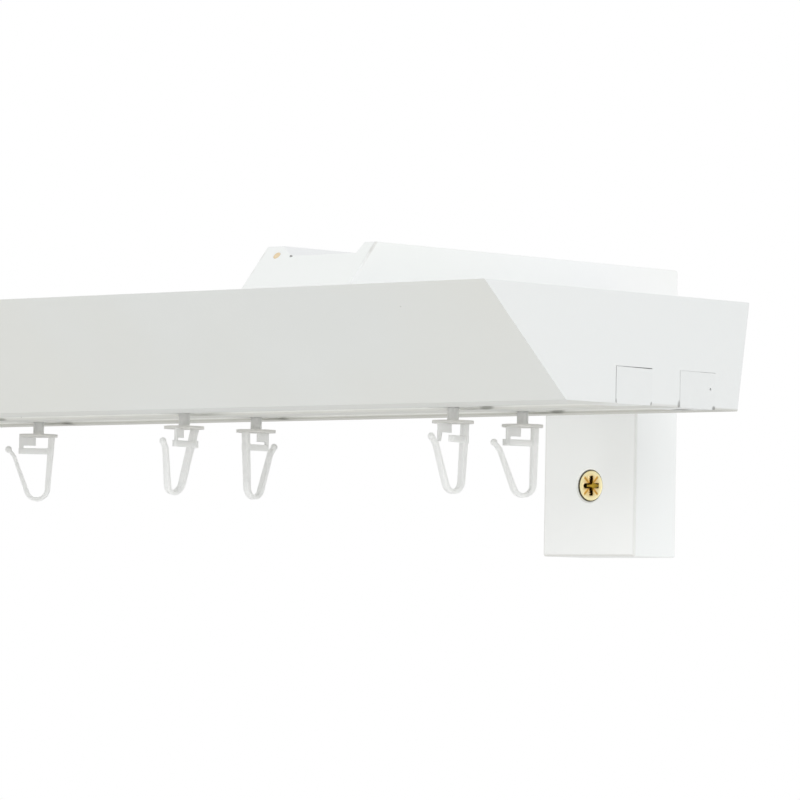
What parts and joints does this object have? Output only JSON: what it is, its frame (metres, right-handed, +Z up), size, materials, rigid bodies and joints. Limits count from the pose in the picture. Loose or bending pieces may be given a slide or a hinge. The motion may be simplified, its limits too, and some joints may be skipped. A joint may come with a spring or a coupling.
{
  "type": "double curtain track",
  "caption": "White lacquered timber curtain rail with a sloping front and two grooved runs of sliding gliders with swivel hooks, carried by wooden arms on wall blocks.",
  "frame": {"origin": "on the wall plane, midway between the two wall screws and level with them", "axes": "+X along the rail to its right-hand end, +Y into the wall, -Y into the room, +Z up"},
  "size_m": [0.8, 0.1395, 0.081],
  "materials": {
    "lacquered_wood": "white satin lacquer",
    "channel_plastic": "white, matt",
    "plug_plastic": "white, painted with the rail",
    "runner_plastic": "white, slightly glossy",
    "hook_plastic": "white, slightly translucent",
    "yellow_zinc_steel": "yellow zinc plated",
    "brass": "plain"
  },
  "bodies": {
    "track": {"rail_body": "lacquered_wood", "front_channel": "channel_plastic", "rear_channel": "channel_plastic", "front_right_plug": "plug_plastic", "front_left_plug": "plug_plastic", "rear_right_plug": "plug_plastic", "rear_left_plug": "plug_plastic", "right_wall_block": "lacquered_wood", "left_wall_block": "lacquered_wood", "right_arm": "lacquered_wood", "left_arm": "lacquered_wood", "wall_screws": "yellow_zinc_steel", "rail_screws": "yellow_zinc_steel", "block_screws": "yellow_zinc_steel", "arm_pins": "brass"},
    "front_glider_1": {"front_runner_1": "runner_plastic"},
    "front_swivel_1": {"front_hook_1": "hook_plastic"},
    "front_glider_2": {"front_runner_2": "runner_plastic"},
    "front_swivel_2": {"front_hook_2": "hook_plastic"},
    "front_glider_3": {"front_runner_3": "runner_plastic"},
    "front_swivel_3": {"front_hook_3": "hook_plastic"},
    "front_glider_4": {"front_runner_4": "runner_plastic"},
    "front_swivel_4": {"front_hook_4": "hook_plastic"},
    "front_glider_5": {"front_runner_5": "runner_plastic"},
    "front_swivel_5": {"front_hook_5": "hook_plastic"},
    "front_glider_6": {"front_runner_6": "runner_plastic"},
    "front_swivel_6": {"front_hook_6": "hook_plastic"},
    "front_glider_7": {"front_runner_7": "runner_plastic"},
    "front_swivel_7": {"front_hook_7": "hook_plastic"},
    "front_glider_8": {"front_runner_8": "runner_plastic"},
    "front_swivel_8": {"front_hook_8": "hook_plastic"},
    "rear_glider_1": {"rear_runner_1": "runner_plastic"},
    "rear_swivel_1": {"rear_hook_1": "hook_plastic"},
    "rear_glider_2": {"rear_runner_2": "runner_plastic"},
    "rear_swivel_2": {"rear_hook_2": "hook_plastic"},
    "rear_glider_3": {"rear_runner_3": "runner_plastic"},
    "rear_swivel_3": {"rear_hook_3": "hook_plastic"},
    "rear_glider_4": {"rear_runner_4": "runner_plastic"},
    "rear_swivel_4": {"rear_hook_4": "hook_plastic"},
    "rear_glider_5": {"rear_runner_5": "runner_plastic"},
    "rear_swivel_5": {"rear_hook_5": "hook_plastic"},
    "rear_glider_6": {"rear_runner_6": "runner_plastic"},
    "rear_swivel_6": {"rear_hook_6": "hook_plastic"},
    "rear_glider_7": {"rear_runner_7": "runner_plastic"},
    "rear_swivel_7": {"rear_hook_7": "hook_plastic"},
    "rear_glider_8": {"rear_runner_8": "runner_plastic"},
    "rear_swivel_8": {"rear_hook_8": "hook_plastic"}
  },
  "joints": [
    {"name": "front_slide_1", "type": "slide", "parent": "track", "child": "front_glider_1", "axis": [1, 0, 0], "range_m": [-0.083, 0.044]},
    {"name": "front_swivel_turn_1", "type": "hinge", "parent": "front_glider_1", "child": "front_swivel_1", "pos_m": [0.335, -0.079, 0.0149], "axis": [0, 0, 1], "continuous": true},
    {"name": "front_slide_2", "type": "slide", "parent": "track", "child": "front_glider_2", "axis": [1, 0, 0], "range_m": [-0.072, 0.083]},
    {"name": "front_swivel_turn_2", "type": "hinge", "parent": "front_glider_2", "child": "front_swivel_2", "pos_m": [0.231, -0.079, 0.0149], "axis": [0, 0, 1], "continuous": true},
    {"name": "front_slide_3", "type": "slide", "parent": "track", "child": "front_glider_3", "axis": [1, 0, 0], "range_m": [-0.0824, 0.072]},
    {"name": "front_swivel_turn_3", "type": "hinge", "parent": "front_glider_3", "child": "front_swivel_3", "pos_m": [0.138, -0.079, 0.0149], "axis": [0, 0, 1], "continuous": true},
    {"name": "front_slide_4", "type": "slide", "parent": "track", "child": "front_glider_4", "axis": [1, 0, 0], "range_m": [-0.0824, 0.0824]},
    {"name": "front_swivel_turn_4", "type": "hinge", "parent": "front_glider_4", "child": "front_swivel_4", "pos_m": [0.0346, -0.079, 0.0149], "axis": [0, 0, 1], "continuous": true},
    {"name": "front_slide_5", "type": "slide", "parent": "track", "child": "front_glider_5", "axis": [1, 0, 0], "range_m": [-0.0824, 0.0824]},
    {"name": "front_swivel_turn_5", "type": "hinge", "parent": "front_glider_5", "child": "front_swivel_5", "pos_m": [-0.0688, -0.079, 0.0149], "axis": [0, 0, 1], "continuous": true},
    {"name": "front_slide_6", "type": "slide", "parent": "track", "child": "front_glider_6", "axis": [1, 0, 0], "range_m": [-0.0824, 0.0824]},
    {"name": "front_swivel_turn_6", "type": "hinge", "parent": "front_glider_6", "child": "front_swivel_6", "pos_m": [-0.1722, -0.079, 0.0149], "axis": [0, 0, 1], "continuous": true},
    {"name": "front_slide_7", "type": "slide", "parent": "track", "child": "front_glider_7", "axis": [1, 0, 0], "range_m": [-0.0824, 0.0824]},
    {"name": "front_swivel_turn_7", "type": "hinge", "parent": "front_glider_7", "child": "front_swivel_7", "pos_m": [-0.2756, -0.079, 0.0149], "axis": [0, 0, 1], "continuous": true},
    {"name": "front_slide_8", "type": "slide", "parent": "track", "child": "front_glider_8", "axis": [1, 0, 0], "range_m": [0, 0.0824]},
    {"name": "front_swivel_turn_8", "type": "hinge", "parent": "front_glider_8", "child": "front_swivel_8", "pos_m": [-0.379, -0.079, 0.0149], "axis": [0, 0, 1], "continuous": true},
    {"name": "rear_slide_1", "type": "slide", "parent": "track", "child": "rear_glider_1", "axis": [1, 0, 0], "range_m": [-0.082, 0.042]},
    {"name": "rear_swivel_turn_1", "type": "hinge", "parent": "rear_glider_1", "child": "rear_swivel_1", "pos_m": [0.337, -0.0525, 0.0149], "axis": [0, 0, 1], "continuous": true},
    {"name": "rear_slide_2", "type": "slide", "parent": "track", "child": "rear_glider_2", "axis": [1, 0, 0], "range_m": [-0.07, 0.082]},
    {"name": "rear_swivel_turn_2", "type": "hinge", "parent": "rear_glider_2", "child": "rear_swivel_2", "pos_m": [0.234, -0.0525, 0.0149], "axis": [0, 0, 1], "continuous": true},
    {"name": "rear_slide_3", "type": "slide", "parent": "track", "child": "rear_glider_3", "axis": [1, 0, 0], "range_m": [-0.0834, 0.07]},
    {"name": "rear_swivel_turn_3", "type": "hinge", "parent": "rear_glider_3", "child": "rear_swivel_3", "pos_m": [0.143, -0.0525, 0.0149], "axis": [0, 0, 1], "continuous": true},
    {"name": "rear_slide_4", "type": "slide", "parent": "track", "child": "rear_glider_4", "axis": [1, 0, 0], "range_m": [-0.0834, 0.0834]},
    {"name": "rear_swivel_turn_4", "type": "hinge", "parent": "rear_glider_4", "child": "rear_swivel_4", "pos_m": [0.0386, -0.0525, 0.0149], "axis": [0, 0, 1], "continuous": true},
    {"name": "rear_slide_5", "type": "slide", "parent": "track", "child": "rear_glider_5", "axis": [1, 0, 0], "range_m": [-0.0834, 0.0834]},
    {"name": "rear_swivel_turn_5", "type": "hinge", "parent": "rear_glider_5", "child": "rear_swivel_5", "pos_m": [-0.0658, -0.0525, 0.0149], "axis": [0, 0, 1], "continuous": true},
    {"name": "rear_slide_6", "type": "slide", "parent": "track", "child": "rear_glider_6", "axis": [1, 0, 0], "range_m": [-0.0834, 0.0834]},
    {"name": "rear_swivel_turn_6", "type": "hinge", "parent": "rear_glider_6", "child": "rear_swivel_6", "pos_m": [-0.1702, -0.0525, 0.0149], "axis": [0, 0, 1], "continuous": true},
    {"name": "rear_slide_7", "type": "slide", "parent": "track", "child": "rear_glider_7", "axis": [1, 0, 0], "range_m": [-0.0834, 0.0834]},
    {"name": "rear_swivel_turn_7", "type": "hinge", "parent": "rear_glider_7", "child": "rear_swivel_7", "pos_m": [-0.2746, -0.0525, 0.0149], "axis": [0, 0, 1], "continuous": true},
    {"name": "rear_slide_8", "type": "slide", "parent": "track", "child": "rear_glider_8", "axis": [1, 0, 0], "range_m": [0, 0.0834]},
    {"name": "rear_swivel_turn_8", "type": "hinge", "parent": "rear_glider_8", "child": "rear_swivel_8", "pos_m": [-0.379, -0.0525, 0.0149], "axis": [0, 0, 1], "continuous": true}
  ]
}
